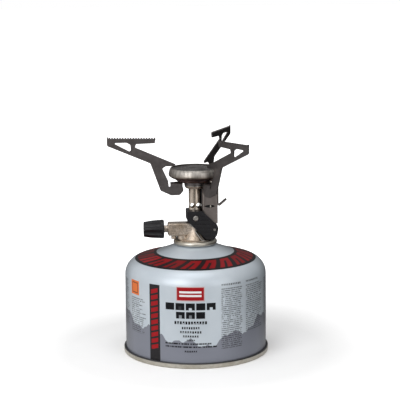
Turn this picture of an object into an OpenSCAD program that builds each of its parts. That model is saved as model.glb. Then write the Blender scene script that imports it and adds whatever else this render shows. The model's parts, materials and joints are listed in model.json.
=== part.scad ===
// Canister stove: a screw-on gas burner with three folding pot supports and a
// piezo igniter, standing on a resealable gas canister.
// Millimetres, +Z up. The origin is on the canister's axis, in the plane it stands on.
// +X points to the igniter and -X to the control knob.

/* [Canister] */
// Outside diameter of the canister's wall
can_d = 108; // [100:1:112]
// Height at which the wall turns into the shoulder
can_wall_h = 60.5; // [50:0.5:62]
// Sheet thickness of the drawn canister body
can_t = 0.45; // [0.3:0.05:0.5]
// Sheet thickness of the base
base_t = 0.5; // [0.4:0.05:0.5]

/* [Coupling] */
// Outside diameter of the canister's valve thread
thread_d = 11; // [10.9:0.05:11.1]
// Running clearance between a moving piece and its guide, on the radius
run = 0.05; // [0.02:0.01:0.08]
// Gap left between neighbouring pieces that are fixed together
fit = 0.05; // [0.03:0.01:0.06]

/* [Control valve] */
// Height of the valve spindle's axis
spindle_z = 95; // [94.8:0.1:95.2]
// Distance from the stove's axis to the outer end of the knob
knob_reach = 39.4; // [37:0.2:40]
// Largest diameter of the knob
knob_d = 14.4; // [13:0.2:15]
// Number of flutes around the knob
knob_flutes = 7; // [6:1:8]

/* [Mixing tube] */
// Outside diameter of the mixing tube
tube_d = 9.6; // [9.4:0.1:9.6]
// Inside diameter of the mixing tube
tube_bore = 8.4; // [8.3:0.1:8.6]
// Diameter of each air hole
air_hole_d = 3.9; // [3:0.1:4.2]
// Height of the ring of air holes
air_hole_z = 113.2; // [112:0.2:118]

/* [Burner] */
// Largest diameter of the burner head
burner_d = 39.8; // [39.4:0.1:40]
// Height of the burner head's top edge
burner_top = 142.2; // [141.8:0.1:142.3]

/* [Pot supports] */
// Sheet thickness of the pot supports
arm_t = 1; // [0.9:0.05:1]
// Distance from the stove's axis to the end of an open pot support
arm_reach = 66.1; // [62:0.1:70]
// Height of the line between the teeth, at the inner end of the toothed bar
rest_z = 164.4; // [163:0.1:166]
// Height of a tooth
tooth_h = 1; // [0.5:0.1:1.2]
// Distance from tooth to tooth
tooth_pitch = 2; // [1.8:0.1:2.5]

/* [Igniter] */
// Width of the igniter housing across both halves
housing_w = 16; // [15.6:0.2:17]
// Distance between the housing's finger grooves
groove_pitch = 3.2; // [2.8:0.1:3.7]
// Width of the heat shield channel
shield_w = 12.4; // [12:0.1:12.8]
// Travel of the igniter trigger
trigger_travel = 4; // [2:0.5:4]

/* [Hidden] */
$fn = 48;

// Colours
paint = [0.68, 0.72, 0.76];
tinplate = [0.72, 0.70, 0.64];
nickel = [0.74, 0.68, 0.58];
brass = [0.80, 0.62, 0.32];
steel = [0.66, 0.65, 0.63];
dark_steel = [0.30, 0.28, 0.28];
black_plastic = [0.10, 0.10, 0.12];
rubber = [0.06, 0.06, 0.06];

// Canister
can_r = can_d / 2;
shoulder_r = 13;            // radius of the shoulder's outer surface
shoulder_turn = 75;         // angle the shoulder turns through before the cone
bead_r = 14.85;             // distance of the mouth's rolled bead from the axis
bead_z = 85;                // height of the bead's centre
bead_roll = 1.4;            // outside radius of the rolled bead
cup_t = 0.4;                // sheet thickness of the valve cup
cup_floor_z = 77;
pedestal_top = 86.2;        // top of the threaded pedestal
thread_r = thread_d / 2;
stem_guide_r = 3.05;        // bore of the canister's valve body

// Stove body
socket_ceiling = 88.1;
valve_top = 106;            // top of the pillar that carries the jet
pillar_r = 4.1;
block_end = -20.5;          // outer face of the block that guides the spindle
block_w = 4.9;              // half width of the block
block_h = 4.8;              // half height of the block
panel_deep = 0.6;           // depth of the recessed panels on its front and rear
boss_x = -9.6;              // boss that joins the block to the flange
boss_r = 4.4;
lock_x = -16.3;             // axis of the lock screw
flange_top = 86.8;
shank_r = 2.7;              // spindle where it shows between barrel and knob
spindle_r = 2.45;           // spindle inside the barrel
gland_r = 3.9;              // counterbore for the gland nut
collar_x = -14.1;           // inner face of the spindle's stop collar
jet_thread_r = 2;
fix_z = 104;                // height of the two screws that hold the igniter housing
knob_inner_x = -23.95;
knob_ring = 2.2;            // plain ring left at the flutes' inner end
flute_r = 3;
flute_depth = 1.2;

// Neck
tube_r = tube_d / 2;
sleeve_r = 5.9;             // the pot supports swivel on this sleeve
bush_z = 126.3;
bush_top = 128.15;          // top of the bush's flange
ring_z = 128.6;             // underside of the lowest pot support ring
ring_step = arm_t + 0.05;
ring_r = 8;
bend_r = 0.8;               // inside radius of the fold between ring plate and blade
burner_floor = ring_z + 3 * ring_step + 0.05;

// Burner
burner_r = burner_d / 2;
cup_wall_r = burner_r - 1.4;
electrode_at = [11.5, -4.9];

// Pot supports, in the plane of the blade
fold_from = 9.2;            // the fold runs from here to fold_to along the blade
fold_to = 18.6;
bar_end = 29.3;             // inner end of the toothed bar
bar_rise = 0.019;           // slope of the toothed bar, upwards to its outer end
arm_offset = 1.5;           // the swivelling blades stand this far to one side of the axis, so
                            // that they fold flat beside the fixed one
right_at = -60;             // where the two swivelling supports stand when they are open
back_at = 61;
tooth_first = 30.05;
tooth_base = 0.66;          // half width of a tooth at its foot
tooth_tip = 0.3;            // half width of a tooth at its top
spike_w = 1.3;
spike_h = 1.4;
tooth_count = floor((arm_reach - spike_w - tooth_base - tooth_first) / tooth_pitch) + 1;

// Igniter
cheek_y = housing_w / 2;
cheek_t = 1.2;
shield_t = 0.6;
shield_x = [5.05, 16.9];
shield_z = [99.6, 126];
pin_at = [14.2, 94.9];      // x and z of the housing's rivet pin
piezo_x = 11;
piezo_z = [96.2, 118];
plunger_r = 2.4;
trigger_t = 0.8;
trigger_w = 6;
spring_solid = 4.5;         // length left to the igniter's spring when it is pressed
spring_z = [piezo_z[1] + fit, piezo_z[1] + fit + spring_solid + trigger_travel];
trigger_top = spring_z[1] + fit + trigger_t;

// Unit vector, and a vector turned a quarter turn to the left
function unit(v) = v / norm(v);
function perp(v) = [-v.y, v.x];

// Angle brought into the range -180 to 180
function wrap(a) = a > 180 ? a - 360 : a < -180 ? a + 360 : a;

// Points along an arc
function arc(c, r, a0, a1, n = 8) =
    [for (k = [0 : n]) c + r * [cos(a0 + (a1 - a0) * k / n), sin(a0 + (a1 - a0) * k / n)]];

// Corner p between neighbours a and b, turned into an arc of radius r
function corner(p, a, b, r, n) =
    let (u = unit(a - p), v = unit(b - p), half = acos(u * v) / 2,
         c = p + unit(u + v) * r / sin(half),
         s = p + u * r / tan(half) - c,
         e = p + v * r / tan(half) - c,
         a0 = atan2(s.y, s.x))
    arc(c, r, a0, a0 + wrap(atan2(e.y, e.x) - a0), n);

// A point [x, y] stays sharp; a point [x, y, r] becomes an arc of radius r
function rounded(pts, i, j, k, n) =
    let (p = [pts[i].x, pts[i].y], a = [pts[j].x, pts[j].y], b = [pts[k].x, pts[k].y])
    len(pts[i]) < 3 ? [p] : corner(p, a, b, pts[i][2], n);

// Closed outline with rounded corners
function outline(pts, n = 5) =
    let (m = len(pts))
    [for (i = [0 : m - 1]) each rounded(pts, i, (i + m - 1) % m, (i + 1) % m, n)];

// Open path with rounded corners
function path(pts, n = 5) =
    let (m = len(pts))
    [for (i = [0 : m - 1]) each (i == 0 || i == m - 1) ? [[pts[i].x, pts[i].y]]
        : rounded(pts, i, i - 1, i + 1, n)];

// Sideways step at point i of a path, long enough to keep the sheet's thickness at a corner
function side(p, i) =
    let (a = unit(i > 0 ? p[i] - p[i - 1] : p[1] - p[0]),
         b = unit(i < len(p) - 1 ? p[i + 1] - p[i] : p[i] - p[i - 1]),
         m = unit(perp(a) + perp(b)))
    m / (m * perp(a));

// Outline of a sheet of thickness t whose middle follows the path p
function sheet(p, t) = concat(
    [for (i = [0 : len(p) - 1]) p[i] + side(p, i) * t / 2],
    [for (i = [len(p) - 1 : -1 : 0]) p[i] - side(p, i) * t / 2]);

// Turned ring between two radii and two heights
module ring(r_in, r_out, z0, z1) {
    rotate_extrude() translate([r_in, z0]) square([r_out - r_in, z1 - z0]);
}

// Cylinder along Z between two heights
module post(r, z0, z1) {
    translate([0, 0, z0]) cylinder(r = r, h = z1 - z0);
}

// Turned piece about the X axis: the outline's points are [x, radius]
module turned_x(pts) {
    translate([0, 0, spindle_z]) rotate([0, 90, 0])
        rotate_extrude() polygon([for (p = pts) [p.y, p.x]]);
}

// Cylinder along X at the spindle's height
module rod_x(r, x0, x1) {
    translate([x0, 0, spindle_z]) rotate([0, 90, 0]) cylinder(r = r, h = x1 - x0);
}

// Block with an outline in the XY plane, between two heights
module block_z(pts, z0, z1) {
    translate([0, 0, z0]) linear_extrude(z1 - z0) polygon(pts);
}

// Rectangle with rounded corners: w and h are half its width and height
function rectangle(w, h, r) = outline([[-w, -h, r], [w, -h, r], [w, h, r], [-w, h, r]]);

// Plate with an outline in the XZ plane, between y0 and y1
module plate_y(pts, y0, y1) {
    translate([0, y1, 0]) rotate([90, 0, 0]) linear_extrude(y1 - y0) polygon(pts);
}

// Round bar along Y
module rod_y(r, x, z, y0, y1) {
    translate([x, y1, z]) rotate([90, 0, 0]) cylinder(r = r, h = y1 - y0);
}

// Bar of rectangular section between two points, t thick and w wide
module bar(a, b, w, t) {
    d = b - a;
    translate(a) rotate([0, acos(d.z / norm(d)), atan2(d.y, d.x)])
        translate([-t / 2, -w / 2, 0]) cube([t, w, norm(d)]);
}

// Coil spring about the Z axis: r is the coil's radius and w the wire's
module coil(r, w, z0, z1, turns, steps = 16, sides = 6) {
    n = turns * steps;
    rise = (z1 - z0 - 2 * w) / n;
    pts = [for (i = [0 : n]) for (k = [0 : sides - 1])
        let (a = 360 * i / steps, b = 360 * k / sides, q = r + w * cos(b))
        [q * cos(a), q * sin(a), z0 + w + rise * i + w * sin(b)]];
    skin = [for (i = [0 : n - 1]) for (k = [0 : sides - 1])
        let (a = i * sides + k, b = i * sides + (k + 1) % sides)
        each [[a, b, b + sides], [a, b + sides, a + sides]]];
    first = [for (k = [sides - 1 : -1 : 0]) k];
    last = [for (k = [0 : sides - 1]) n * sides + k];
    polyhedron(concat(pts, [[0, 0, 0]]), concat(skin, [first], [last]), convexity = 8);
}

// ---- canister ----

module canister_shell() {
    wall = can_r - can_t / 2;
    hook_r = (base_t + can_t) / 2 + fit;       // radius at which the seam's layers fold
    hook_z = base_t + fit + hook_r + can_t / 2;
    shoulder = shoulder_r - can_t / 2;
    turn = arc([can_r - shoulder_r, can_wall_h], shoulder, 0, shoulder_turn, 12);
    roll = bead_roll - can_t / 2;
    skin = concat(
        [[wall + 2 * hook_r, hook_z + 2]],
        arc([wall + hook_r, hook_z], hook_r, 0, -180),
        turn,
        path([turn[12], [29.7, 76.9, 20], [16.4, 82.1, 2], [bead_r - roll, 83.15, 0.6],
            [bead_r - roll, bead_z]]),
        arc([bead_r, bead_z], roll, 170, -60, 14));
    clean = [for (i = [0 : len(skin) - 1]) if (i == 0 || norm(skin[i] - skin[i - 1]) > 0.01) skin[i]];
    color(paint) rotate_extrude($fn = 96) polygon(sheet(clean, can_t));
}

module canister_base() {
    wall = can_r - can_t / 2;
    hook_r = (base_t + can_t) / 2 + fit;
    chuck = wall - hook_r;                     // wall of the recess, inside the body
    seam = wall + 3 * hook_r;                  // outer face of the seam
    roof_z = 3.55;
    floor_r = chuck - 3;
    // the dome starts level at the axis
    dome = concat([[0, 9]], [for (k = [1 : 10])
        [floor_r * k / 10, 4.6 + 4.4 * (1 - pow((k - 1) / 9, 2))]]);
    skin = concat(
        dome,
        path([[floor_r + 1, 4.6], [chuck, 6, 0.8], [chuck, base_t / 2, 0.8],
            [seam, base_t / 2, 0.8], [seam, roof_z]]),
        arc([seam - hook_r, roof_z], hook_r, 10, 180),
        [[seam - 2 * hook_r, 1.8]]);
    color(tinplate) rotate_extrude($fn = 96) polygon(sheet(skin, base_t));
}

module valve_cup() {
    roll = bead_roll + fit + cup_t / 2;
    wall = bead_r - roll;
    post_r = thread_r - cup_t / 2;
    skin = concat(
        arc([bead_r, bead_z], roll, -45, 180, 16),
        path([[wall, bead_z - 0.5], [wall, cup_floor_z, 1.2], [post_r, cup_floor_z, 0.8],
            [post_r, pedestal_top - cup_t / 2, 0.4], [2.3, pedestal_top - cup_t / 2]]));
    color(tinplate) rotate_extrude($fn = 96) polygon(sheet(skin, cup_t));
}

module canister_valve_body() {
    outer = thread_r - cup_t - 0.1;
    color("ivory") difference() {
        rotate_extrude() polygon([[0.9, 73.5], [2.6, 73.5], [outer, 76.5], [outer, 84.6],
            [stem_guide_r, 84.6], [stem_guide_r, 75.2], [0.9, 75.2]]);
        for (a = [0, 90])
            rotate([0, 0, a]) translate([-6, -0.6, 77.6]) cube([12, 1.2, 2]);
    }
}

module valve_gasket() {
    color(rubber) ring(1.6, thread_r - cup_t - 0.1, 84.65, 85.75);
}

module valve_stem() {
    color("white") {
        post(stem_guide_r - run, 82.2, 83.4);
        post(1.3, 83.3, 84.9);
        post(1.1, 79.5, 82.3);
    }
}

module stem_spring() {
    color("silver") coil(2.2, 0.3, 75.25, 82.15, 5);
}

// ---- valve block ----

module coupling_seal() {
    color(rubber) translate([0, 0, 87.15])
        rotate_extrude() translate([3.9, 0]) circle(r = 0.9, $fn = 24);
}

module valve_body() {
    color(nickel) difference() {
        union() {
            rotate_extrude() polygon([[0, 79.6], [11.9, 79.6], [12.2, 79.9], [12.2, 83.9],
                [12.7, 84.3], [12.7, flange_top - 0.3], [12.4, flange_top], [10.4, flange_top],
                [9.8, flange_top + 0.4], [5.9, 94.2], [5.6, 97.6], [pillar_r, 100.2],
                [pillar_r, valve_top], [0, valve_top]]);
            translate([block_end, 0, spindle_z]) rotate([90, 0, 90])
                linear_extrude(-3 - block_end) polygon(rectangle(block_w, block_h, 1));
            rod_x(4.5, block_end - 0.5, block_end + 1);
            translate([boss_x, 0, 0]) post(boss_r, flange_top, spindle_z - 4);
        }
        // recessed panels on the front and the rear of the block
        for (s = [-1, 1])
            translate([-12.3, s * block_w, spindle_z + 0.6]) rotate([90, 0, 0])
                linear_extrude(2 * panel_deep, center = true) polygon(rectangle(5.4, 2.5, 0.7));
        post(thread_r + run, 79, socket_ceiling);
        post(2.2, 88, 93.2);
        rod_x(gland_r, block_end - 1, collar_x + 0.2);
        rod_x(spindle_r + run, collar_x, -1.5);
        rod_x(0.6, -2, 0.2);
        post(1.2, 94.9, 102);
        post(jet_thread_r, 101.5, valve_top + 1);
        for (s = [-1, 1])
            rod_y(1.1, 0, fix_z, s > 0 ? 2.7 : -6, s > 0 ? 6 : -2.7);
        translate([lock_x, 0, 0]) post(1.5, 89, 92);
    }
}

module depressor_pin() {
    color(brass) difference() {
        union() {
            post(0.8, 84.95, 91);
            post(2.15, 90.6, 92.2);
        }
        for (a = [0 : 120 : 240])
            rotate([0, 0, a]) translate([1.9, 0, 0]) post(0.6, 90, 93);
    }
}

module gas_filter() {
    color("goldenrod") ring(0.85, 2.1, 88.3, 90.5);
}

module gas_jet() {
    color(brass) difference() {
        union() {
            post(jet_thread_r - fit, 101.8, valve_top + 0.2);
            translate([0, 0, valve_top + fit]) cylinder(r = 2.9, h = 2, $fn = 6);
            rotate_extrude() polygon([[0, 107.9], [1.9, 107.9], [1.9, 108.8], [0.9, 109.9], [0, 109.9]]);
        }
        post(0.8, 101, 109);
        post(0.16, 108, 111);
    }
}

module gland_nut() {
    color(nickel) difference() {
        turned_x([[block_end - 0.2, shank_r + run], [block_end - 0.2, gland_r - fit],
            [-15.75, gland_r - fit], [-15.75, shank_r + run]]);
        for (a = [0, 90])
            translate([0, 0, spindle_z]) rotate([a, 0, 0])
                translate([block_end - 1.2, -0.5, -5]) cube([2, 1, 10]);
    }
}

module lock_screw() {
    color(nickel) translate([lock_x, 0, 0]) difference() {
        union() {
            post(2.15, 87.2, 90.1);
            post(1.5 - fit, 90, 91);
        }
        translate([-3, -0.35, 87]) cube([6, 0.7, 0.9]);
    }
}

// ---- spindle and knob ----

module spindle_seal() {
    color(rubber) translate([-8.5, 0, spindle_z]) rotate([0, 90, 0])
        rotate_extrude() translate([2, 0]) circle(r = 0.45, $fn = 24);
}

module valve_spindle() {
    color(nickel) difference() {
        turned_x([[-33, 0], [-33, shank_r], [collar_x - 0.8, shank_r], [collar_x - 0.8, 3.4],
            [collar_x, 3.4], [collar_x, spindle_r], [-9.1, spindle_r], [-9.1, 1.5], [-7.9, 1.5],
            [-7.9, spindle_r], [-6, spindle_r], [-5.4, 1.4], [-3, 1.4], [-1.6, 0.5], [-0.9, 0.3],
            [-0.9, 0]]);
        rod_x(1.3, -34, -28.4);
        translate([-34, -4, spindle_z + 1.9]) cube([9.6, 8, 2]);
    }
}

module control_knob() {
    tail = -knob_reach;
    big = knob_d / 2;
    body = [[tail, 0], [tail, big - 1.5, 0.7], [knob_inner_x - 9.4, big - 0.5, 4],
        [knob_inner_x - 1, big, 0.5], [knob_inner_x, big - 0.3, 0.3], [knob_inner_x, 0]];
    color(black_plastic) difference() {
        turned_x(outline(body));
        difference() {
            rod_x(shank_r + 0.03, -33.05, knob_inner_x + 1);
            translate([-33.05, -4, spindle_z + 1.95]) cube([8.6, 8, 2]);
        }
        rod_x(1.35, tail + 1, -32);
        rod_x(2.5, tail - 1, tail + 1.8);
        for (k = [0 : knob_flutes - 1])
            translate([0, 0, spindle_z]) rotate([360 * k / knob_flutes, 0, 0])
                translate([knob_inner_x - knob_ring, 0, big + flute_r - flute_depth])
                    rotate([0, -94, 0]) cylinder(r = flute_r, h = 16);
    }
}

module knob_screw() {
    tail = -knob_reach;
    color(steel) difference() {
        union() {
            turned_x([[tail + 0.4, 0], [tail + 0.4, 1.7], [tail + 0.8, 2.3], [tail + 1.75, 2.3],
                [tail + 1.75, 0]]);
            rod_x(1.25, tail + 1.5, -28.6);
        }
        translate([tail, -0.35, spindle_z - 3]) cube([1.1, 0.7, 6]);
    }
}

// ---- neck ----

module mixing_tube() {
    color(nickel) difference() {
        ring(tube_bore / 2, tube_r, 100.4, 134.4);
        for (a = [0 : 60 : 120])
            rotate([0, 0, a]) translate([-8, 0, air_hole_z])
                rotate([0, 90, 0]) cylinder(d = air_hole_d, h = 16);
        rod_y(1.15, 0, fix_z, -8, 8);
    }
}

module arm_bush() {
    inner = tube_r + fit;
    top = ring_z + 3 * ring_step;
    color(steel) rotate_extrude() polygon([[inner, bush_z], [6.7, bush_z], [7.2, bush_z + 0.4],
        [7.8, bush_top - 0.4], [7.8, bush_top], [sleeve_r, bush_top], [sleeve_r, top], [inner, top]]);
}

module wave_washer() {
    color(steel) ring(sleeve_r + run, 7.6, bush_top + fit, ring_z - fit);
}

// ---- burner head ----

module burner_cup() {
    t = 0.6;
    floor_z = burner_floor + t / 2;
    wall = cup_wall_r - t / 2;
    skin = path([[tube_r + fit, floor_z], [13.2, floor_z, 1.5], [wall, 136.2, 1],
        [wall, burner_top - 1.95]]);
    color([0.42, 0.34, 0.28]) difference() {
        rotate_extrude() polygon(sheet(skin, t));
        translate(electrode_at) post(1.2, burner_floor - 1, burner_floor + 2);
    }
}

module burner_nut() {
    inner = tube_r + fit;
    base = burner_floor + 0.65;
    color(nickel) difference() {
        translate([0, 0, base]) cylinder(r = 7.6, h = 1.9, $fn = 6);
        post(inner, base - 1, base + 3);
    }
}

module flow_diffuser() {
    rim = cup_wall_r - 0.7;
    color(steel) difference() {
        // flat disc with a raised centre that turns the gas outwards
        rotate_extrude() polygon([[0, 138.4], [2, 138.4], [3.6, 137.5], [rim, 137.5], [rim, 137],
            [3.3, 137], [1.8, 137.9], [0, 137.9]]);
        for (a = [0 : 30 : 330])
            rotate([0, 0, a + 3]) translate([8.2, 0, 0]) post(1, 136, 139);
        for (a = [0 : 15 : 345])
            rotate([0, 0, a]) translate([14.8, 0, 0]) post(0.9, 136, 139);
        translate(electrode_at) post(1.3, 136, 139);
    }
}

module burner_mesh() {
    color([0.35, 0.35, 0.36]) post(cup_wall_r - 0.4, burner_top - 1.9, burner_top - 1.15);
}

module burner_ring() {
    t = 0.5;
    r = burner_r - t / 2;
    top = burner_top - t / 2;
    skin = path([[r - 1.9, 134.8], [r - 0.2, 136.1, 0.35], [r, 137.2, 1.5],
        [r - 0.7, top - 1.65, 2], [r - 1.6, top - 0.05, 0.35], [r - 2.3, top - 0.25]]);
    color(steel) rotate_extrude() polygon(sheet(skin, t));
}

// ---- pot supports ----

// Height of the line between the teeth at a distance x from the axis
function rest_at(x) = rest_z + (x - bar_end) * bar_rise;

// Teeth along the top edge, from the inner end outwards
function teeth() = [for (k = [0 : tooth_count - 1])
    let (x = tooth_first + tooth_pitch * k, foot = rest_at(x))
    each [[x - tooth_base, foot], [x - tooth_tip, foot + tooth_h],
        [x + tooth_tip, foot + tooth_h], [x + tooth_base, foot]]];

module blade(hook_top) {
    tip = arm_reach;
    lower = [[tip, 160.1, 0.4], [tip - 0.9, 159.2, 0.4], [33.6, 145.7, 2], [26.1, 124.6, 2],
        [17.9, 120.7, 3], [11.2, 121, 2], [8.5, 124.4, 1.5], [fold_from, 127.7, 1],
        [fold_from, hook_top]];
    inner = [[fold_to, hook_top], [fold_to, 127.5, 0.4], [19.7, 127.5, 0.4], [20.3, 132.3, 3],
        [24.5, 141.5, 0.6], [22, 143.2, 1], [15.2, 143.2, 0.3], [14.4, 144.7, 0.3],
        [42.9, 157.2, 1.2], [44.9, 158, 0.8], [44.2, 160.6, 1], [bar_end + 0.6, 161, 0.4],
        [bar_end, rest_z]];
    spike = [[tip - spike_w, rest_at(tip)], [tip - 0.6, rest_at(tip) + spike_h],
        [tip, rest_at(tip) + spike_h]];
    window = [[tip - 4.6, 161.7, 0.5], [51.5, 161.8, 2], [48.4, 160.1, 1.2], [48.1, 155.9, 0.6],
        [49.2, 155.1, 0.5]];
    rotate([90, 0, 0]) linear_extrude(arm_t, center = true) difference() {
        polygon(outline(concat(lower, inner, teeth(), spike)));
        polygon(outline(window));
    }
}

// Pot support lying along +X, with its ring's underside at height z and its blade shifted to -Y
module pot_support(z, shift) {
    hook_top = z - bend_r;
    edge = -shift - arm_t / 2 - bend_r;        // the ring plate starts here
    translate([0, -shift, 0]) blade(hook_top);
    // fold from the blade up into the ring plate
    translate([fold_from, edge, hook_top]) rotate([90, 0, 90])
        linear_extrude(fold_to - fold_from) intersection() {
            difference() {
                circle(r = bend_r + arm_t);
                circle(r = bend_r);
            }
            square(bend_r + arm_t);
        }
    translate([0, 0, z]) linear_extrude(arm_t) difference() {
        union() {
            circle(r = ring_r);
            polygon([[0, 0], [4.05, -7.2], [18.2, edge - 1.6], [fold_to, edge - 1], [fold_to, edge],
                [fold_from, edge]]);
        }
        circle(r = sleeve_r + run);
    }
}

module pot_support_back() {
    color(dark_steel) rotate([0, 0, back_at]) pot_support(ring_z, arm_offset);
}

module pot_support_left() {
    color(dark_steel) rotate([0, 0, 180]) pot_support(ring_z + ring_step, 0);
}

module pot_support_right() {
    color(dark_steel) rotate([0, 0, right_at]) mirror([0, 1, 0])
        pot_support(ring_z + 2 * ring_step, arm_offset);
}

// ---- igniter ----

// Ends of a finger groove at height z, kept clear of the housing's rim and of the screw
function groove_from(z) = abs(z - fix_z) < 3 ? 3.4 : max(-5.2, 1.04 * (101.6 - z) - 5.2);
function groove_to(z) = min(15.4, 113.2 - z);

// One half of the igniter housing, on the -Y side
module housing_half() {
    split = -fit / 2;
    inside = -cheek_y + cheek_t;
    face = outline([[-6.6, 109.4, 0.8], [4.9, 109.4, 0.8], [16.6, 97.9, 0.9], [17.2, 95.7, 3],
        [16.2, 90.6, 2.5], [13.6, 87.3, 1.5], [8.6, 87.3, 1], [7.4, 87.9, 0.5], [-6.6, 102.2, 0.5]]);
    hollow = outline([[-5.7, 108.5], [4.2, 108.5], [4.2, 113], [18, 113], [18, 99.2], [15.1, 99.2],
        [15.4, 97.3, 0.5], [16, 95.6, 2], [15, 91.2, 2], [13, 88.5, 1], [8.9, 88.5], [-8, 88.5],
        [-8, 101.1], [-5.7, 101.1]]);
    difference() {
        plate_y(face, -cheek_y, split);
        plate_y(hollow, inside, 1);
        post(tube_r + 0.1, 100, 112);
        // room for the valve body's cone
        rotate_extrude() polygon([[0, 86], [10.2, 86], [10.2, flange_top + 0.4], [6.1, 94.4], [0, 94.4]]);
        rod_y(1.15, 0, fix_z, -9, -5);
        rod_y(0.95, pin_at.x, pin_at.y, -9, 0);
        for (k = [0 : 5]) {
            z = 89.6 + groove_pitch * k;
            translate([groove_from(z), -cheek_y - 1, z - 0.35])
                cube([groove_to(z) - groove_from(z), 1.5, 0.7]);
        }
    }
    // shelf under the piezo element
    translate([8.5, inside - 0.1, 94]) cube([4.2, split - inside + 0.1, 2.1]);
}

module igniter_housing_front() {
    color(black_plastic) housing_half();
}

module igniter_housing_rear() {
    color(black_plastic) mirror([0, 1, 0]) housing_half();
}

// Round-headed screw whose head bears on a face at -Y
module fixing_screw(face_y) {
    translate([0, face_y, fix_z]) rotate([90, 0, 0]) difference() {
        union() {
            rotate_extrude() polygon([[0, fit], [2.05, fit], [2.05, 0.55], [1.5, 1.05], [0, 1.25]]);
            translate([0, 0, -5.1]) cylinder(r = 1.05, h = 5.3);
        }
        for (a = [45, 135])
            rotate([0, 0, a]) translate([-1.3, -0.3, 0.65]) cube([2.6, 0.6, 1]);
    }
}

module igniter_screws() {
    color(steel) {
        fixing_screw(-cheek_y);
        mirror([0, 1, 0]) fixing_screw(-cheek_y);
    }
}

module igniter_pin() {
    color(steel) rod_y(0.9, pin_at.x, pin_at.y, -cheek_y - 0.15, cheek_y + 0.15);
}

module igniter_bracket() {
    y0 = -cheek_y + cheek_t + fit;
    t = 0.6;
    plate = outline([[-3.4, 106.4, 0.8], [3.4, 106.4, 0.8], [3.4, 100.6, 0.8], [-0.6, 97.8, 0.5],
        [2.2, 95.8, 0.3], [0.6, 94.4, 0.3], [-4.6, 98.8, 0.3], [-4.6, 100.6, 0.5]]);
    color(steel) difference() {
        union() {
            plate_y(plate, y0, y0 + t);
            bar([-0.6, -6.9, 94.5], [4.2, -9.9, 87.6], 1.6, t);
            translate([3.5, -11.2, flange_top + 0.1]) cube([3.1, 1.5, t]);
        }
        rod_y(1.15, 0, fix_z, -9, -5);
    }
}

module heat_shield() {
    t = shield_t;
    x0 = shield_x[0] + t / 2;
    x1 = shield_x[1] - t / 2;
    y = (shield_w - t) / 2;
    lip = y - 1.2;
    section = path([[x1, -lip], [x1, -y, 0.5], [x0, -y, 1.6], [x0, y, 1.6], [x1, y, 0.5], [x1, lip]]);
    // lens-shaped opening in the front flange
    lens = [[6.4, 112.8], [8.4, 113.7], [10.65, 114], [12.9, 113.7], [14.9, 112.8],
        [12.9, 111.9], [10.65, 111.6], [8.4, 111.9]];
    color(steel) difference() {
        block_z(sheet(section, t), shield_z[0], shield_z[1]);
        plate_y(lens, -shield_w, 0);
    }
}

module piezo_element() {
    color(black_plastic) translate([piezo_x, 0, 0]) difference() {
        block_z(rectangle(3.6, 4.4, 1), piezo_z[0], piezo_z[1]);
        post(plunger_r + run, 102.5, piezo_z[1] + 1);
    }
}

module piezo_plunger() {
    color("dimgray") translate([piezo_x, 0, 0]) {
        post(plunger_r, 107, piezo_z[1] + 1);
        post(plunger_r - 0.3, piezo_z[1], spring_z[1]);
    }
}

module piezo_spring() {
    color("silver") translate([piezo_x, 0, 0]) coil(3, 0.3, spring_z[0], spring_z[1], 5);
}

module igniter_trigger() {
    t = trigger_t;
    leg_x = shield_x[1] + 0.15 + t / 2;
    skin = path([[9, trigger_top - t / 2], [leg_x, trigger_top - t / 2, 1], [leg_x, 111.7, 0.9],
        [24, 117.2]]);
    color(steel) difference() {
        plate_y(sheet(skin, t), -trigger_w / 2, trigger_w / 2);
        // finger tab narrows to rounded corners
        for (s = [-1, 1])
            translate([23.6, s * (trigger_w / 2 + 0.4), 116]) rotate([0, 0, 45])
                cube([1.6, 1.6, 8], center = true);
    }
}

module ignition_lead() {
    side_y = electrode_at.y;
    color([0.75, 0.72, 0.68]) {
        translate([electrode_at.x, side_y, 0]) post(0.45, 97.6, 126.35);
        rod_y(0.45, electrode_at.x, 98, side_y, -4.45);
    }
}

module electrode_insulator() {
    color("ivory") translate(electrode_at)
        rotate_extrude() polygon([[0.55, 126.4], [1.1, 126.4], [1.1, 135.2], [0.8, 136], [0.55, 136]]);
}

module electrode() {
    color("silver") translate(electrode_at) {
        post(0.5, 126.6, 139.1);
        translate([0, 0, 139.1]) sphere(r = 0.5);
    }
}

canister_shell();
canister_base();
valve_cup();
canister_valve_body();
valve_gasket();
valve_stem();
stem_spring();
coupling_seal();
valve_body();
depressor_pin();
gas_filter();
gas_jet();
gland_nut();
lock_screw();
spindle_seal();
valve_spindle();
control_knob();
knob_screw();
mixing_tube();
arm_bush();
wave_washer();
burner_cup();
burner_nut();
flow_diffuser();
burner_mesh();
burner_ring();
pot_support_left();
pot_support_right();
pot_support_back();
igniter_housing_front();
igniter_housing_rear();
igniter_screws();
igniter_pin();
igniter_bracket();
heat_shield();
piezo_element();
piezo_plunger();
piezo_spring();
igniter_trigger();
ignition_lead();
electrode_insulator();
electrode();
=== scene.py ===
"""Canister stove: looks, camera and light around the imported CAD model. Lengths are in metres."""

import json
import math

import bpy
from mathutils import Matrix, Vector


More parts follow.
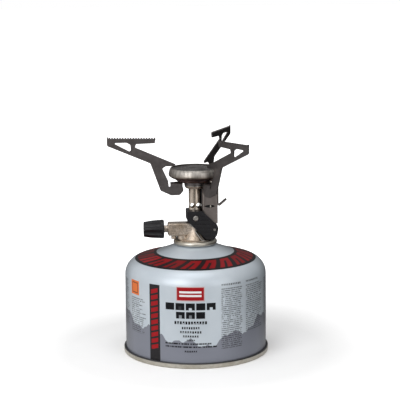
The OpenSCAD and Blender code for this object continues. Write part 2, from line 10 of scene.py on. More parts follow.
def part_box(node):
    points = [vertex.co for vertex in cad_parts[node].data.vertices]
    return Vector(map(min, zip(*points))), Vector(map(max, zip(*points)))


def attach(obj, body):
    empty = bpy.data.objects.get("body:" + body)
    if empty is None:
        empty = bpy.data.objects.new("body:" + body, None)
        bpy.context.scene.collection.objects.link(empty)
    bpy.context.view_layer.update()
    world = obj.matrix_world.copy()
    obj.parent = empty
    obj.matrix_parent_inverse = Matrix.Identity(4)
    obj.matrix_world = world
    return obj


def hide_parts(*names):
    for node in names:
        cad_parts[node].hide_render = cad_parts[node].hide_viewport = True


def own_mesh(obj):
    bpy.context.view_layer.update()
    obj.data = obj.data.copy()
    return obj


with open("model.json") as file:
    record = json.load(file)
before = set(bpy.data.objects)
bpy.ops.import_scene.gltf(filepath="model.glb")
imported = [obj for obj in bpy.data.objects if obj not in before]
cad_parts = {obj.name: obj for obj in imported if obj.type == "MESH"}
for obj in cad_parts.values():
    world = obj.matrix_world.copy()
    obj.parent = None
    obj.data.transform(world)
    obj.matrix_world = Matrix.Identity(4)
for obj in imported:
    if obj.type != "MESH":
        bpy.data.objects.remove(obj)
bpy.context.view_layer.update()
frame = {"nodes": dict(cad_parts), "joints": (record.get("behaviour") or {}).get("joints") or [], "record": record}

MM = 0.001


# ---- numbers and colours worked out by material nodes ----


class Num:
    """A number made by a material's nodes, which adds and scales like a plain one."""

    def __init__(self, graph, socket):
        self.graph, self.socket = graph, socket

    def __add__(self, other):
        return self.graph.math("ADD", self, other)

    __radd__ = __add__

    def __sub__(self, other):
        return self.graph.math("SUBTRACT", self, other)

    def __rsub__(self, other):
        return self.graph.math("SUBTRACT", other, self)

    def __mul__(self, other):
        return self.graph.math("MULTIPLY", self, other)

    __rmul__ = __mul__

    def __truediv__(self, other):
        return self.graph.math("DIVIDE", self, other)

    def __abs__(self):
        return self.graph.math("ABSOLUTE", self)


class Tree:
    """A node tree with short ways to add nodes to it."""

    def __init__(self, tree):
        self.tree = tree
        self.tree.nodes.clear()

    def node(self, kind, **properties):
        made = self.tree.nodes.new(kind)
        for key, value in properties.items():
            setattr(made, key, value)
        return made

    def put(self, socket, value):
        """Sets an input to a plain value, or links it to what other nodes make."""
        if isinstance(value, Num):
            self.tree.links.new(value.socket, socket)
        elif isinstance(value, bpy.types.NodeSocket):
            self.tree.links.new(value, socket)
        elif isinstance(value, (tuple, list)) and len(value) == 3 and socket.type == "RGBA":
            socket.default_value = (*value, 1)
        else:
            socket.default_value = value

    def math(self, operation, *values, clamp=False):
        made = self.node("ShaderNodeMath", operation=operation, use_clamp=clamp)
        for socket, value in zip(made.inputs, values):
            self.put(socket, value)
        return Num(self, made.outputs[0])

    def parts(self, vector):
        """x, y and z of a vector."""
        split = self.node("ShaderNodeSeparateXYZ")
        self.put(split.inputs[0], vector)
        return [Num(self, out) for out in split.outputs]

    def position(self):
        """x, y and z in the shared frame, in millimetres."""
        place = self.parts(self.node("ShaderNodeTexCoord").outputs["Object"])
        return [part * 1000 for part in place]

    def around(self):
        """Angle around the canister's axis in radians, with radius and height in millimetres."""
        x, y, z = self.position()
        return self.math("ARCTAN2", y, x), self.distance(x, y), z

    def distance(self, x, y):
        return self.math("SQRT", x * x + y * y)

    def vector(self, x, y, z):
        made = self.node("ShaderNodeCombineXYZ")
        for socket, value in zip(made.inputs, (x, y, z)):
            self.put(socket, value)
        return made.outputs[0]

    def noise(self, scale, detail=3.0, roughness=0.5, vector=None):
        """Noise in 0 to 1. Scale is in features per unit of the vector, which is millimetres."""
        made = self.node("ShaderNodeTexNoise")
        self.put(made.inputs["Vector"], self.vector(*self.position()) if vector is None else vector)
        for key, value in (("Scale", scale), ("Detail", detail), ("Roughness", roughness)):
            self.put(made.inputs[key], value)
        return Num(self, made.outputs["Fac"])

    def random(self, value):
        """A random number in 0 to 1 for each whole value."""
        made = self.node("ShaderNodeTexWhiteNoise", noise_dimensions="1D")
        self.put(made.inputs["W"], value)
        return Num(self, made.outputs["Value"])

    def ramp(self, value, stops):
        """Colours or greys at places along 0 to 1."""
        made = self.node("ShaderNodeValToRGB")
        while len(made.color_ramp.elements) < len(stops):
            made.color_ramp.elements.new(0.5)
        for element, (place, colour) in zip(made.color_ramp.elements, stops):
            element.position = place
            element.color = (*colour, 1) if isinstance(colour, tuple) else (colour,) * 3 + (1,)
        self.put(made.inputs[0], value)
        return made.outputs[0]

    def blend(self, share, first, second, mode="MIX"):
        """A colour between first, where share is 0, and second, where it is 1."""
        made = self.node("ShaderNodeMix", data_type="RGBA", blend_type=mode)
        self.put(made.inputs[0], share)
        self.put(made.inputs[6], first)
        self.put(made.inputs[7], second)
        return made.outputs[2]

    def patchy(self, pattern, low, high, first, second):
        """A colour that goes from first, where the pattern is low, to second, where it is high."""
        return self.blend(self.ramp(pattern, [(low, 0.0), (high, 1.0)]), first, second)

    def mottle(self, share, colour, pattern, low, high, dark):
        """A colour darkened to a share of itself where the pattern is low, not where it is high."""
        return self.blend(share, colour, self.ramp(pattern, [(low, dark), (high, 1.0)]), "MULTIPLY")

    def within(self, value, low, high, edge=0.12):
        """1 where value lies between low and high, with an edge this wide."""
        middle = (low + high) * 0.5
        half = (high - low) * 0.5
        return self.math("ADD", (half - abs(value - middle)) / edge, 0.5, clamp=True)

    def below(self, value, limit, edge=0.12):
        """1 where value lies below the limit, with an edge this wide."""
        return self.math("ADD", (limit - value) / edge, 0.5, clamp=True)

    def either(self, *masks):
        joined = masks[0]
        for mask in masks[1:]:
            joined = self.math("MAXIMUM", joined, mask)
        return joined


class Graph(Tree):
    """The node tree of one material, with a Principled shader at its end."""

    def __init__(self, name, **settings):
        self.material = bpy.data.materials.new(name)
        self.material.use_nodes = True
        super().__init__(self.material.node_tree)
        output = self.node("ShaderNodeOutputMaterial")
        self.shader = self.node("ShaderNodeBsdfPrincipled")
        self.tree.links.new(self.shader.outputs[0], output.inputs["Surface"])
        for key, value in settings.items():
            self.set(key.replace("_", " ").title().replace("Ior", "IOR"), value)

    def set(self, name, value):
        self.put(self.shader.inputs[name], value)

    def round_edges(self, radius, sharpness=6.0):
        """Normals that round sharp edges off over this many metres, and a mask of those edges."""
        made = self.node("ShaderNodeBevel", samples=4)
        made.inputs["Radius"].default_value = radius
        flat = self.node("ShaderNodeNewGeometry").outputs["Normal"]
        dot = self.node("ShaderNodeVectorMath", operation="DOT_PRODUCT")
        self.put(dot.inputs[0], made.outputs[0])
        self.put(dot.inputs[1], flat)
        turned = 1 - Num(self, dot.outputs["Value"])
        return made.outputs[0], self.math("MULTIPLY", turned, sharpness, clamp=True)

    def paint_corner_shade(self, colour, corner, reach):
        """Painted shade: a colour that changes to another in corners and grooves narrower than so many metres."""
        made = self.node("ShaderNodeAmbientOcclusion", samples=6)
        made.inputs["Distance"].default_value = reach
        return self.patchy(made.outputs["AO"], 0.25, 0.8, corner, colour)

    def bump(self, height, distance, strength=1.0, normal=None):
        """Surface relief: height times distance, in metres."""
        made = self.node("ShaderNodeBump")
        self.put(made.inputs["Height"], height)
        made.inputs["Distance"].default_value = distance
        made.inputs["Strength"].default_value = strength
        if normal:
            self.put(made.inputs["Normal"], normal)
        self.set("Normal", made.outputs[0])


def srgb(r, g, b):
    """A colour given in display values of 0 to 255, as the linear one that nodes use."""
    def linear(v):
        v /= 255
        return v / 12.92 if v <= 0.04045 else ((v + 0.055) / 1.055) ** 2.4
    return linear(r), linear(g), linear(b)


# ---- metals, plastics, rubber and ceramic ----

CAST_TOP = 99.8                  # height of the top of the valve block's casting, in millimetres
METAL_EDGE, PLASTIC_EDGE = 0.15 * MM, 0.3 * MM    # how far edges are rounded off
SEAM_BLACK_LINE = (3.35, 6.0)       # heights of the black line on the canister's seam, in millimetres
SEAM_BLACK_RADIUS = 53.2            # the line is outside this radius
NICKEL, OLD_NICKEL = srgb(230, 217, 203), srgb(188, 170, 150)


def rolling_marks(g, axis):
    """Coordinates in which noise draws rolling marks along one axis."""
    x, y, z = g.position()
    parts = {"x": x * 5, "y": y * 5, "z": z * 5}
    parts[axis] = parts[axis] * 0.03
    return g.vector(*parts.values())


def metal(name, colour, tint, roughness, grain=0.12, marks=0.5, rolled=None, corner_shade=0.0):
    """Bare metal: cloudy colour, uneven polish, fine relief, rubbed edges and painted shade in corners.

    If it is rolled along an axis, the fine marks run that way.
    """
    g = Graph(name, metallic=1.0)
    cloud = g.noise(0.12, 4, 0.6)
    smudge = g.noise(0.45, 3, 0.55)
    if rolled:
        fine = g.noise(1.0, 3, 0.7, rolling_marks(g, rolled))
    else:
        fine = g.noise(1.2, 3, 0.7)
    normal, rim = g.round_edges(METAL_EDGE)
    base = g.patchy(cloud, 0.35, 0.7, colour, tint)
    base = g.mottle(marks * 0.35, base, fine, 0.3, 0.7, 0.55)
    base = g.blend(rim * smudge, base, tuple(min(1, 1.25 * c) for c in colour))
    # Painted shade, darker in corners and grooves.
    if corner_shade:
        base = g.paint_corner_shade(base, g.blend(corner_shade, base, tuple(c * 0.16 for c in tint)), 2.5 * MM)
    g.set("Base Color", base)
    g.set("Roughness", fine * grain + (roughness - grain * 0.5) + (smudge - 0.5) * 0.18)
    g.bump(fine, 0.02 * MM, 0.6, normal)
    return g.material


def nickel():
    """Dull nickel plate: grainy where the valve block is cast, drawn smooth on the neck above, with painted shade
    in its corners and grooves.
    """
    g = Graph("nickel_plate", metallic=1.0)
    angle, radius, z = g.around()
    cast = g.below(z, CAST_TOP, 0.4)
    cloud = g.noise(0.12, 4, 0.6)
    pits = g.noise(1.3, 4, 0.75)
    drawn = g.noise(1.0, 3, 0.6, g.vector(angle * 14, radius, z * 0.06))
    smudge = g.noise(0.45, 3, 0.55)
    normal, rim = g.round_edges(METAL_EDGE)
    base = g.patchy(cloud, 0.35, 0.7, NICKEL, OLD_NICKEL)
    base = g.mottle(cast * 0.75, base, pits, 0.38, 0.56, 0.4)
    base = g.mottle((1 - cast) * 0.8, base, drawn, 0.3, 0.65, 0.35)
    base = g.blend(rim * smudge, base, srgb(236, 214, 172))
    # Painted shade: darker brown in corners and grooves.
    base = g.paint_corner_shade(base, g.blend(0.85, base, srgb(52, 36, 30)), 3 * MM)
    g.set("Base Color", base)
    g.set("Roughness", cast * 0.16 + smudge * 0.16 + 0.14)
    g.bump(cast * pits, 0.09 * MM, 0.8, normal)
    return g.material


def heat_tinted_shell():
    """Underside of the burner: straw near the axis, then brown and violet where it runs hottest."""
    g = Graph("heat_tinted_shell", metallic=1.0)
    angle, radius, z = g.around()
    rim_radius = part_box("burner_cup")[1].x / MM
    wander = g.noise(0.16, 4, 0.6)
    colour = g.ramp(radius / rim_radius + (wander - 0.5) * 0.3,
                    [(0.35, srgb(176, 166, 152)), (0.6, srgb(156, 128, 108)),
                     (0.78, srgb(122, 96, 90)), (0.9, srgb(110, 96, 100)),
                     (1.0, srgb(146, 122, 100))])
    lathe = g.noise(1.0, 3, 0.7, g.vector(angle * 1.5, radius * 4.5, z * 4.5))
    g.set("Base Color", g.mottle(0.3, colour, lathe, 0.3, 0.7, 0.5))
    g.set("Roughness", lathe * 0.14 + 0.28)
    g.bump(lathe, 0.012 * MM, 0.6)
    return g.material


def burner_band():
    """Pressed steel band, brushed around and streaked, with painted shade in dark brown near its lower edge."""
    g = Graph("burner_band", metallic=1.0)
    angle, radius, z = g.around()
    low, high = (corner.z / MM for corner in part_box("burner_ring"))
    lines = g.noise(1.0, 4, 0.75, g.vector(angle * 2.2, radius * 5, z * 6))
    streaks = g.noise(1.0, 3, 0.6, g.vector(angle * 9, radius * 0.3, z * 0.1))
    blotch = g.noise(0.22, 4, 0.6)
    # Colour by height, with painted shade: dark brown near the lower edge, a little darker at the top edge.
    colour = g.ramp((z - low) / (high - low) + (blotch - 0.5) * 0.08,
                    [(0.17, srgb(92, 70, 62)), (0.25, srgb(150, 140, 130)),
                     (0.6, srgb(192, 186, 179)), (0.9, srgb(202, 196, 189)),
                     (1.0, srgb(150, 146, 142))])
    colour = g.mottle(0.8, colour, streaks, 0.35, 0.62, 0.45)
    g.set("Base Color", g.mottle(0.45, colour, lines, 0.25, 0.7, 0.45))
    g.set("Roughness", lines * 0.2 + 0.34)
    g.bump(lines, 0.02 * MM, 0.7)
    return g.material


def seam_tin():
    """Tinplate base: drawn bright, with a black line at the top of the seam."""
    g = Graph("seam_tin", metallic=1.0)
    angle, radius, z = g.around()
    lines = g.noise(1.0, 4, 0.7, g.vector(angle * 6, radius * 3, z * 4))
    stain = g.noise(0.14, 4, 0.65)
    tin = g.ramp(stain, [(0.3, srgb(188, 181, 166)), (0.55, srgb(208, 203, 192)),
                         (0.8, srgb(176, 169, 156))])
    tin = g.mottle(0.4, tin, lines, 0.3, 0.7, 0.6)
    black_line = g.within(z, *SEAM_BLACK_LINE, 0.25) * (1 - g.below(radius, SEAM_BLACK_RADIUS, 0.1))
    g.set("Base Color", g.blend(black_line, tin, srgb(38, 38, 40)))
    g.set("Metallic", 1 - black_line)
    g.set("Roughness", lines * 0.16 + 0.3)
    g.bump(lines, 0.02 * MM, 0.6)
    return g.material


def plastic(name, colour, roughness, relief):
    """Moulded plastic: fine spark-eroded texture, rubbed paler and shinier where it is handled, with painted shade
    in corners and a painted highlight along its edges.
    """
    g = Graph(name, specular_ior_level=0.35)
    rub = g.noise(0.25, 3, 0.6)
    normal, rim = g.round_edges(PLASTIC_EDGE)
    base = g.patchy(rub, 0.4, 0.75, colour, tuple(min(1, c * 1.4 + 0.003) for c in colour))
    # Painted shade: near-black in corners and grooves.
    base = g.paint_corner_shade(base, srgb(9, 8, 9), 3 * MM)
    # Edges painted paler: rubbed wear with a painted highlight over it, which brings out ridges and grooves.
    base = g.blend(rim * (rub + 0.3), base, tuple(min(1, c * 2.0 + 0.03) for c in colour))
    g.set("Base Color", base)
    g.set("Roughness", rub * -0.16 + (roughness + 0.1))
    g.bump(g.noise(5.0, 2, 0.6), relief, 0.7, normal)
    return g.material


def rubber():
    g = Graph("rubber", roughness=0.75)
    g.set("Base Color", g.patchy(g.noise(0.8), 0.3, 0.7, srgb(24, 24, 25), srgb(38, 38, 39)))
    g.bump(g.noise(4.0, 2), 0.02 * MM)
    return g.material


def ceramic():
    g = Graph("ceramic", roughness=0.55)
    speck = g.noise(2.4, 4, 0.7)
    g.set("Base Color", g.patchy(speck, 0.3, 0.62, srgb(224, 216, 198), srgb(240, 236, 224)))
    g.bump(speck, 0.012 * MM)
    return g.material


# ---- the canister's paint ----

PAINT, DULL_PAINT = srgb(199, 207, 214), srgb(190, 199, 207)
SLATE = srgb(124, 127, 138)
INK = srgb(17, 18, 22)
CHARCOAL = srgb(38, 36, 38)
RED = srgb(152, 22, 28)
ORANGE, UMBER = srgb(232, 116, 40), srgb(80, 44, 26)
RULE_WHITE = srgb(226, 226, 226)
RING_BLACK, RING_GROUND = srgb(16, 15, 17), srgb(30, 24, 26)
RING_RED, RING_DEEP_RED = srgb(158, 22, 28), srgb(112, 16, 20)

# Places along the wall, called s, are in millimetres of circumference from the middle of the
# badge. Heights, called z, are in millimetres above the ground. A box is left, right, bottom, top.
LABEL_AZIMUTH = math.radians(-99)
WALL_RADIUS = 54.0
PATCH, PATCH_FRAME = (-55.3, -44.6, 50.8, 61.6), (-53.9, -46.0, 52.2, 60.2)
BADGE, BADGE_RULES = (-10.6, 10.6, 51.1, 62.0), ((-8.2, 8.2, 57.1, 58.6), (-8.2, 8.2, 54.4, 55.9))
FRAME_LINE = 0.6
UPRIGHT, UPRIGHT_STACK = (-33.1, -23.9, -5.0, 61.9), (-31.7, -25.6, 12.4, 59.4)
STACK_FROM, STACK_PITCH, STACK_SLANT = 12.2, 4.72, 0.3    # slant is rise over run

# Rows of blocks that stand for headings: box, number of blocks, gap as a share of the pitch.
HEADINGS = [((-19.4, 19.2, 44.3, 49.6), 5, 0.12), ((-11.3, 11.2, 37.9, 43.0), 3, 0.12),
            ((-12.4, 12.4, 33.6, 35.9), 12, 0.3), ((-6.8, 6.8, 29.9, 31.7), 8, 0.35),
            ((-8.2, 8.2, 26.7, 28.5), 9, 0.35), ((-6.0, 6.0, 23.5, 25.3), 7, 0.35),
            ((-3.2, 3.2, 20.9, 22.1), 5, 0.35), ((-4.8, 4.8, 12.2, 13.7), 7, 0.4)]
COLUMN_HEADS = [((23.2, 40.0, 61.6, 63.0), 11, 0.35), ((45.0, 60.0, 61.6, 63.0), 10, 0.35)]

# Greeked print: box, pitch of its rows, seed of its noise, how ragged its right side is.
BADGE_PRINT = ((-19.5, 19.5, 15.2, 19.9), 2.35, 3.0, 0.12)
COLUMNS = [((-55.5, -37.0, 22.0, 49.0), 1.55, 11.0, 0.45), ((23.2, 42.0, 14.0, 60.0), 1.5, 23.0, 0.18),
           ((45.0, 68.0, 24.0, 60.0), 1.5, 37.0, 0.3), ((72.0, 94.0, 24.0, 60.0), 1.5, 41.0, 0.3),
           ((-82.0, -60.0, 24.0, 60.0), 1.5, 47.0, 0.3)]

# The hills are a sum of zigzags: where each starts, its period and its height.
HILLS = [(171, 31, 6.5), (204, 11.7, 3.0), (200, 4.3, 0.9)]

# The ring on the shoulder is printed above this height, between these radii.
SHOULDER_FROM = 65.0
RING, RING_INSIDE, RING_BLOCK = (29.7, 46.3), (30.5, 45.5), (32.0, 44.0)
RING_BLOCKS, RING_SLANT = 18, 0.04    # how many blocks, and by what share one leans each millimetre


def ridge_line(g, s):
    """Height of the line of hills between the two greys."""
    height = abs(s - 6) * 0.24 + 12.0
    for start, period, rise in HILLS:
        height = height + g.math("PINGPONG", s + start, period / 2) * (2 * rise / period)
    return height


def panel(g, s, z, box):
    left, right, bottom, top = box
    return g.within(s, left, right) * g.within(z, bottom, top)


def frame_line(g, s, z, box):
    """A thin line just inside a box's outline."""
    left, right, bottom, top = box
    inside = (left + FRAME_LINE, right - FRAME_LINE, bottom + FRAME_LINE, top - FRAME_LINE)
    return panel(g, s, z, box) * (1 - panel(g, s, z, inside))


def print_rows(g, s, z, box, pitch, seed, ragged):
    """Rows of greeked print: broken lines with no letters, ragged on the right."""
    left, right, bottom, top = box
    down = (top - z) / pitch
    row = g.math("FLOOR", down)
    end = right - g.random(row + seed) * (ragged * (right - left))
    words = g.noise(1.0, 1, 0.5, g.vector(s * (1.1 / pitch), row * 5.3 + seed, seed))
    marks = g.noise(1.0, 0, 0.5, g.vector(s * (3.4 / pitch), row * 3.1, seed + 9.0))
    return (g.within(g.math("FRACT", down), 0.25, 0.75, 0.25) * g.within(s, left, end)
            * g.within(z, bottom, top) * g.below(words, 0.62, 0.08) * g.below(marks, 0.6, 0.12))


def word_blocks(g, s, z, box, count, gap):
    """A row of plain blocks that stands for a heading, cut by notches of uneven height."""
    left, right, bottom, top = box
    place = (s - left) / (right - left) * count
    cell = g.math("FRACT", place)
    chance = g.random(g.math("FLOOR", place) + left)
    notch_top = (chance * 0.5 + 0.2) * (top - bottom) + bottom
    notch = g.within(cell, 0.36, 0.64, 0.03) * g.below(z, notch_top) * g.below(chance, 0.6)
    return (g.within(cell, gap / 2, 1 - gap / 2, 0.03) * g.within(place, 0.0, float(count), 0.02)
            * g.within(z, bottom, top) * (1 - notch))


def wall_print(g, colour, s, z):
    """The colour with the wall's print over it, and a mask of the print's solid parts."""
    colour = g.blend(panel(g, s, z, PATCH), colour, ORANGE)
    colour = g.blend(frame_line(g, s, z, PATCH_FRAME), colour, UMBER)

    upright = panel(g, s, z, UPRIGHT)
    colour = g.blend(upright, colour, CHARCOAL)
    slanted = z - STACK_FROM - (s - (UPRIGHT[0] + UPRIGHT[1]) / 2) * STACK_SLANT
    step = g.math("FRACT", slanted / STACK_PITCH)
    stack = g.within(step, 0.16, 0.84, 0.04) * panel(g, s, z, UPRIGHT_STACK)
    colour = g.blend(stack, colour, RED)

    badge = panel(g, s, z, BADGE)
    rules = g.either(*(panel(g, s, z, rule) for rule in BADGE_RULES))
    colour = g.blend(badge, colour, RED)
    colour = g.blend(g.either(rules, frame_line(g, s, z, BADGE) * 0.5), colour, RULE_WHITE)

    headings = g.either(print_rows(g, s, z, *BADGE_PRINT),
                        *(word_blocks(g, s, z, *row) for row in HEADINGS))
    columns = g.either(*(print_rows(g, s, z, *column) for column in COLUMNS))
    column_heads = g.either(*(word_blocks(g, s, z, *row) for row in COLUMN_HEADS))
    for mask in (headings, columns * 0.8, column_heads * 0.85):
        colour = g.blend(mask, colour, INK)
    return colour, g.either(upright, badge, headings)


def shoulder_print(g, colour, angle, radius, z):
    """The colour with the shoulder's ring over it, and a mask of the ring.

    The ring is black, with slanted red blocks between two rims, each with a slot of its own depth.
    """
    high_up = 1 - g.below(z, SHOULDER_FROM)
    ring = g.within(radius, *RING, 0.2) * high_up
    inside = g.within(radius, *RING_INSIDE, 0.2) * high_up
    colour = g.blend(inside, g.blend(ring, colour, RING_BLACK), RING_GROUND)
    lean = (radius - sum(RING_BLOCK) / 2) * RING_SLANT
    sector = angle * (RING_BLOCKS / (2 * math.pi)) + lean + 0.5
    across = g.math("FRACT", sector)
    chance = g.random(g.math("FLOOR", sector) + 7.0)
    block = g.within(across, 0.12 + chance * 0.12, 0.9, 0.04) * g.within(radius, *RING_BLOCK, 0.2)
    slot = g.within(across, 0.44, 0.6, 0.04) * g.within(radius, chance * 4 + 33, 46.0, 0.3)
    reds = g.blend(chance, RING_RED, RING_DEEP_RED)
    return g.blend(block * (1 - slot) * high_up, colour, reds), ring


def canister_paint():
    """Flake paint in two greys with the print over it, with painted shade where it is seen edge on."""
    g = Graph("canister_paint", coat_roughness=0.4)
    x, y, z = g.position()
    turn_c, turn_s = math.cos(LABEL_AZIMUTH), math.sin(LABEL_AZIMUTH)
    angle = g.math("ARCTAN2", y * turn_c - x * turn_s, x * turn_c + y * turn_s)
    s = angle * WALL_RADIUS

    flake = g.noise(7.0, 2, 0.7)
    silver = g.patchy(g.noise(0.05), 0.3, 0.7, PAINT, DULL_PAINT)
    silver = g.mottle(0.1, silver, flake, 0.35, 0.65, 0.6)
    colour = g.blend(g.below(z, ridge_line(g, s), 0.25), silver, SLATE)
    colour, solid_print = wall_print(g, colour, s, z)
    colour, ring = shoulder_print(g, colour, angle, g.distance(x, y), z)

    # Painted shade: the colour darkens where the wall is seen edge on.
    aslant = g.node("ShaderNodeLayerWeight").outputs["Facing"]
    painted_edge_shade = g.ramp(aslant, [(0.55, 1.0), (0.97, 0.42)])
    g.set("Base Color", g.blend(1.0, colour, painted_edge_shade, "MULTIPLY"))
    bare = 1 - g.either(solid_print, ring)
    g.set("Metallic", bare * 0.28)
    g.set("Coat Weight", bare * 0.2 + 0.04)
    g.set("Specular IOR Level", bare * 0.35 + 0.12)
    g.set("Roughness", flake * 0.08 + 0.38)
    g.bump(g.noise(0.9), 0.01 * MM, 0.35)
    return g.material


def make_materials():
    """One material for each of the record's slots."""
    return {
        "painted_steel": canister_paint(),
        "tinplate": seam_tin(),
        "valve_plastic": plastic("valve_plastic", srgb(226, 222, 210), 0.5, 0.012 * MM),
        "seal_rubber": rubber(),
        "nickel_plate": nickel(),
        "brass": metal("brass", srgb(206, 168, 96), srgb(170, 128, 70), 0.3),
        "steel": metal("steel", srgb(190, 187, 182), srgb(150, 146, 140), 0.3),
        "burner_band": burner_band(),
        "burner_shell": heat_tinted_shell(),
        "burner_wire": metal("burner_wire", srgb(116, 114, 113), srgb(74, 71, 71), 0.45, 0.2),
        "arm_steel": metal("arm_steel", srgb(112, 107, 106), srgb(94, 89, 88), 0.42, 0.14,
                           marks=0.6, rolled="x"),
        # The shield's steel gets painted shade in its corners and grooves.
        "shield_steel": metal("shield_steel", srgb(142, 134, 130), srgb(120, 112, 108), 0.38, 0.14,
                              rolled="z", corner_shade=0.7),
        "black_plastic": plastic("black_plastic", srgb(15, 14, 18), 0.42, 0.02 * MM),
        "lead_sleeve": plastic("lead_sleeve", srgb(196, 190, 178), 0.6, 0.03 * MM),
        "ceramic": ceramic(),
    }


# ---- pieces built here ----

GAUZE_PITCH, GAUZE_WIRE, GAUZE_SIDES = 0.86 * MM, 0.15 * MM, 5    # spacing, the wire's radius
GAUZE_CLEARANCE = 0.2 * MM       # from the gauze to the edge of the solid disc it replaces
GAUZE_LIFT, GAUZE_DOME = 0.1 * MM, 0.25 * MM      # how far it stands above the disc's middle
WEAVE_SWING = 0.95               # how far a wire swings up and down, in radii
SPRING_WIRE, SPRING_SIDES = 0.3 * MM, 10
SPRING_TURNS, SPRING_STEPS = 5, 36                # turns, and points on each turn


def add_mesh(name, vertices, faces, smooth=True):
    mesh = bpy.data.meshes.new(name)
    mesh.from_pydata(vertices, [], faces)
    mesh.validate()
    mesh.update()
    mesh.polygons.foreach_set("use_smooth", [smooth] * len(mesh.polygons))
    made = bpy.data.objects.new(name, mesh)
    bpy.context.scene.collection.objects.link(made)
    return made


def tube_along(points, radius, sides, vertices, faces):
    """Adds a capped round tube that follows the points to the lists."""
    start = len(vertices)
    count = len(points)
    for i, point in enumerate(points):
        ahead = points[min(i + 1, count - 1)] - points[max(i - 1, 0)]
        ahead.normalize()
        side = ahead.cross(Vector((0, 0, 1)))
        side = side.normalized() if side.length > 1e-6 else Vector((1, 0, 0))
        up = side.cross(ahead)
        for k in range(sides):
            turn = 2 * math.pi * k / sides
            vertices.append(point + radius * (math.cos(turn) * side + math.sin(turn) * up))
    for i in range(count - 1):
        for k in range(sides):
            a, b = start + i * sides + k, start + i * sides + (k + 1) % sides
            faces.append((a, b, b + sides, a + sides))
    faces.append(tuple(start + k for k in range(sides - 1, -1, -1)))
    faces.append(tuple(start + (count - 1) * sides + k for k in range(sides)))


def stand_in(name, vertices, faces, material, node):
    """Makes a piece that is shown in the place of a CAD node of the stove."""
    piece = add_mesh(name, vertices, faces)
    piece.data.materials.append(material)
    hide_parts(node)
    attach(piece, "stove")
    return piece


def woven_burner_mesh(material):
    """Plain-woven wire gauze across the burner, in the place of its solid disc."""
    low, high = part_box("burner_mesh")
    reach = (high.x - low.x) / 2 - GAUZE_CLEARANCE
    centre_z = (low.z + high.z) / 2 + GAUZE_LIFT
    vertices, faces = [], []
    rows = int(reach / GAUZE_PITCH)
    for direction in (0, 1):
        for row in range(-rows, rows + 1):
            across = row * GAUZE_PITCH
            half = math.sqrt(max(reach ** 2 - across ** 2, 0))
            steps = max(2, int(4 * half / GAUZE_PITCH))
            points = []
            for i in range(steps + 1):
                along = -half + 2 * half * i / steps
                over = math.cos(math.pi * along / GAUZE_PITCH) * (1 if (row + direction) % 2 else -1)
                dome = GAUZE_DOME * (1 - (along ** 2 + across ** 2) / reach ** 2)
                z = centre_z + over * GAUZE_WIRE * WEAVE_SWING + dome
                points.append(Vector((along, across, z) if direction == 0 else (across, along, z)))
            tube_along(points, GAUZE_WIRE, GAUZE_SIDES, vertices, faces)
    stand_in("woven_burner_mesh", vertices, faces, material, "burner_mesh")


def piezo_return_spring(material):
    """Coil spring round the plunger. It keeps its length as the trigger goes down."""
    low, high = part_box("piezo_spring")
    middle = (low + high) / 2
    coil = (high.x - low.x) / 2 - SPRING_WIRE
    total = SPRING_TURNS * SPRING_STEPS
    vertices, faces, points = [], [], []
    for i in range(total + 1):
        turn = 2 * math.pi * i / SPRING_STEPS
        z = low.z + SPRING_WIRE + (high.z - low.z - 2 * SPRING_WIRE) * i / total
        points.append(Vector((middle.x + coil * math.cos(turn), middle.y + coil * math.sin(turn), z)))
    tube_along(points, SPRING_WIRE, SPRING_SIDES, vertices, faces)
    piece = stand_in("piezo_return_spring", vertices, faces, material, "piezo_spring")
    travel = next(j for j in frame["joints"] if j["name"] == "trigger_press")["range_m"][1]
    1 - travel / (high.z - low.z)
    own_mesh(piece)


# ---- stage ----

# The camera's place: how far back from the canister's axis, how high, how far to the right, how
# far its view is turned round the object, how far it looks down and how far it is rolled over.
CAMERA_BACK, CAMERA_UP, CAMERA_RIGHT = 1.050, 0.3078, 0.00389
CAMERA_TURN, CAMERA_DOWN, CAMERA_ROLL = (math.radians(a) for a in (-5, 10.313, -0.47))
FOCAL_LENGTH, SENSOR = 126.15, 36.0

# The soft boxes: azimuth in degrees, distance, height, width and tallness, power in watts.
SOFT_BOXES = {
    "key_box": (-124, 1.3, 0.65, 0.9, 0.9, 10),
    "right_box": (-55, 1.3, 0.5, 0.5, 0.9, 2),
    "top_box": (-110, 0.25, 1.3, 0.8, 0.8, 5),
}
LIT_POINT = Vector((0, 0, 0.08))

# What stands round the stove, as a brightness for each direction: a broad white card to the left,
# a narrow one front right, dark elsewhere. Places go once round from behind by way of the left.
CARDS = [(0.00, 0.20), (0.10, 0.16), (0.17, 0.42), (0.23, 0.80), (0.33, 0.80), (0.40, 0.36),
         (0.47, 0.14), (0.51, 0.16), (0.545, 0.95), (0.60, 0.95), (0.64, 0.12), (0.70, 0.05),
         (0.85, 0.05), (0.95, 0.12), (1.00, 0.20)]
SKY_GREY = (0.55, 0.55, 0.55)    # what is above, in mirrors
FLOOR_GREY = (0.75, 0.75, 0.75)  # the floor near the canister, in mirrors
FLOOR_REACH = 6.0
WHITE = (1.0, 1.0, 1.0)


def add_camera():
    camera = bpy.data.objects.new("camera", bpy.data.cameras.new("camera"))
    bpy.context.scene.collection.objects.link(camera)
    turn = Matrix.Rotation(CAMERA_TURN, 3, "Z")
    aim = turn @ Matrix.Rotation(math.pi / 2 - CAMERA_DOWN, 3, "X")
    camera.location = turn @ Vector((CAMERA_RIGHT, -CAMERA_BACK, CAMERA_UP))
    camera.rotation_euler = (aim @ Matrix.Rotation(CAMERA_ROLL, 3, "Z")).to_euler()
    camera.data.lens = FOCAL_LENGTH
    camera.data.sensor_width = SENSOR
    camera.data.clip_start, camera.data.clip_end = 0.05, 20
    bpy.context.scene.camera = camera


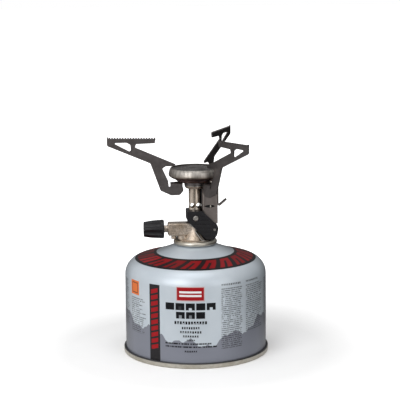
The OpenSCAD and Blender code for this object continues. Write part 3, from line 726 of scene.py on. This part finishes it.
def add_soft_box(name, azimuth, distance, height, width, tall, power):
    """A soft box that faces the stove."""
    data = bpy.data.lights.new(name, "AREA")
    data.shape, data.size, data.size_y = "RECTANGLE", width, tall
    data.energy = power
    light = bpy.data.objects.new(name, data)
    turn = math.radians(azimuth)
    light.location = (distance * math.cos(turn), distance * math.sin(turn), height)
    light.rotation_euler = (LIT_POINT - light.location).to_track_quat("-Z", "Y").to_euler()
    bpy.context.scene.collection.objects.link(light)


def card_light(g, x, y):
    """Brightness of the cards in the direction of x and y."""
    turn = g.math("ARCTAN2", x, y) / (-2 * math.pi)
    return g.ramp(g.math("FRACT", turn), CARDS)


def add_floor():
    """Pale floor, which glows white to the camera except near the canister, for its shadow.

    In mirrors it is as bright as the cards beyond it, except near the canister.
    """
    corners = [(x * FLOOR_REACH, y * FLOOR_REACH, 0) for x, y in ((-1, -1), (1, -1), (1, 1), (-1, 1))]
    floor = add_mesh("floor", corners, [(0, 1, 2, 3)], smooth=False)
    g = Graph("floor", roughness=0.9, specular_ior_level=0.1)
    x, y, _ = g.position()
    away = g.distance(x, y)
    seen = Num(g, g.node("ShaderNodeLightPath").outputs["Is Camera Ray"])
    pale = g.ramp(g.noise(0.02, 2), [(0.3, 0.86), (0.7, 0.88)])
    mirrored = g.blend(g.below(away, 120.0, 80.0), card_light(g, x, y), FLOOR_GREY)
    g.set("Base Color", g.blend(seen, mirrored, pale))
    glow = (1 - g.below(away, 200.0, 200.0)) * 0.9 + 0.12
    g.set("Emission Color", WHITE)
    g.set("Emission Strength", glow * seen)
    floor.data.materials.append(g.material)


def add_surroundings():
    """White to the camera. What the metal mirrors is the cards, with a soft light above."""
    world = bpy.data.worlds.new("studio")
    bpy.context.scene.world = world
    world.use_nodes = True
    w = Tree(world.node_tree)
    x, y, z = w.parts(w.node("ShaderNodeTexCoord").outputs["Generated"])
    above = w.ramp(z * 0.5 + 0.5, [(0.55, 0.0), (0.95, 1.0)])
    seen, lit = w.node("ShaderNodeBackground"), w.node("ShaderNodeBackground")
    w.put(seen.inputs["Color"], WHITE)
    w.put(lit.inputs["Color"], w.blend(above, card_light(w, x, y), SKY_GREY))
    mix = w.node("ShaderNodeMixShader")
    w.put(mix.inputs[0], w.node("ShaderNodeLightPath").outputs["Is Camera Ray"])
    w.put(mix.inputs[1], lit.outputs[0])
    w.put(mix.inputs[2], seen.outputs[0])
    w.put(w.node("ShaderNodeOutputWorld").inputs[0], mix.outputs[0])


def dress():
    """Gives each CAD node its slot's material."""
    materials = make_materials()
    for row in frame["record"]["subparts"]:
        node = frame["nodes"][row["node"]]
        node.data.materials.clear()
        node.data.materials.append(materials[row["material_slot"]])
    return materials


materials = dress()
woven_burner_mesh(materials["burner_wire"])
piezo_return_spring(materials["steel"])
add_floor()
add_surroundings()
for name, settings in SOFT_BOXES.items():
    add_soft_box(name, *settings)
bpy.context.scene.view_settings.view_transform = "Standard"
add_camera()
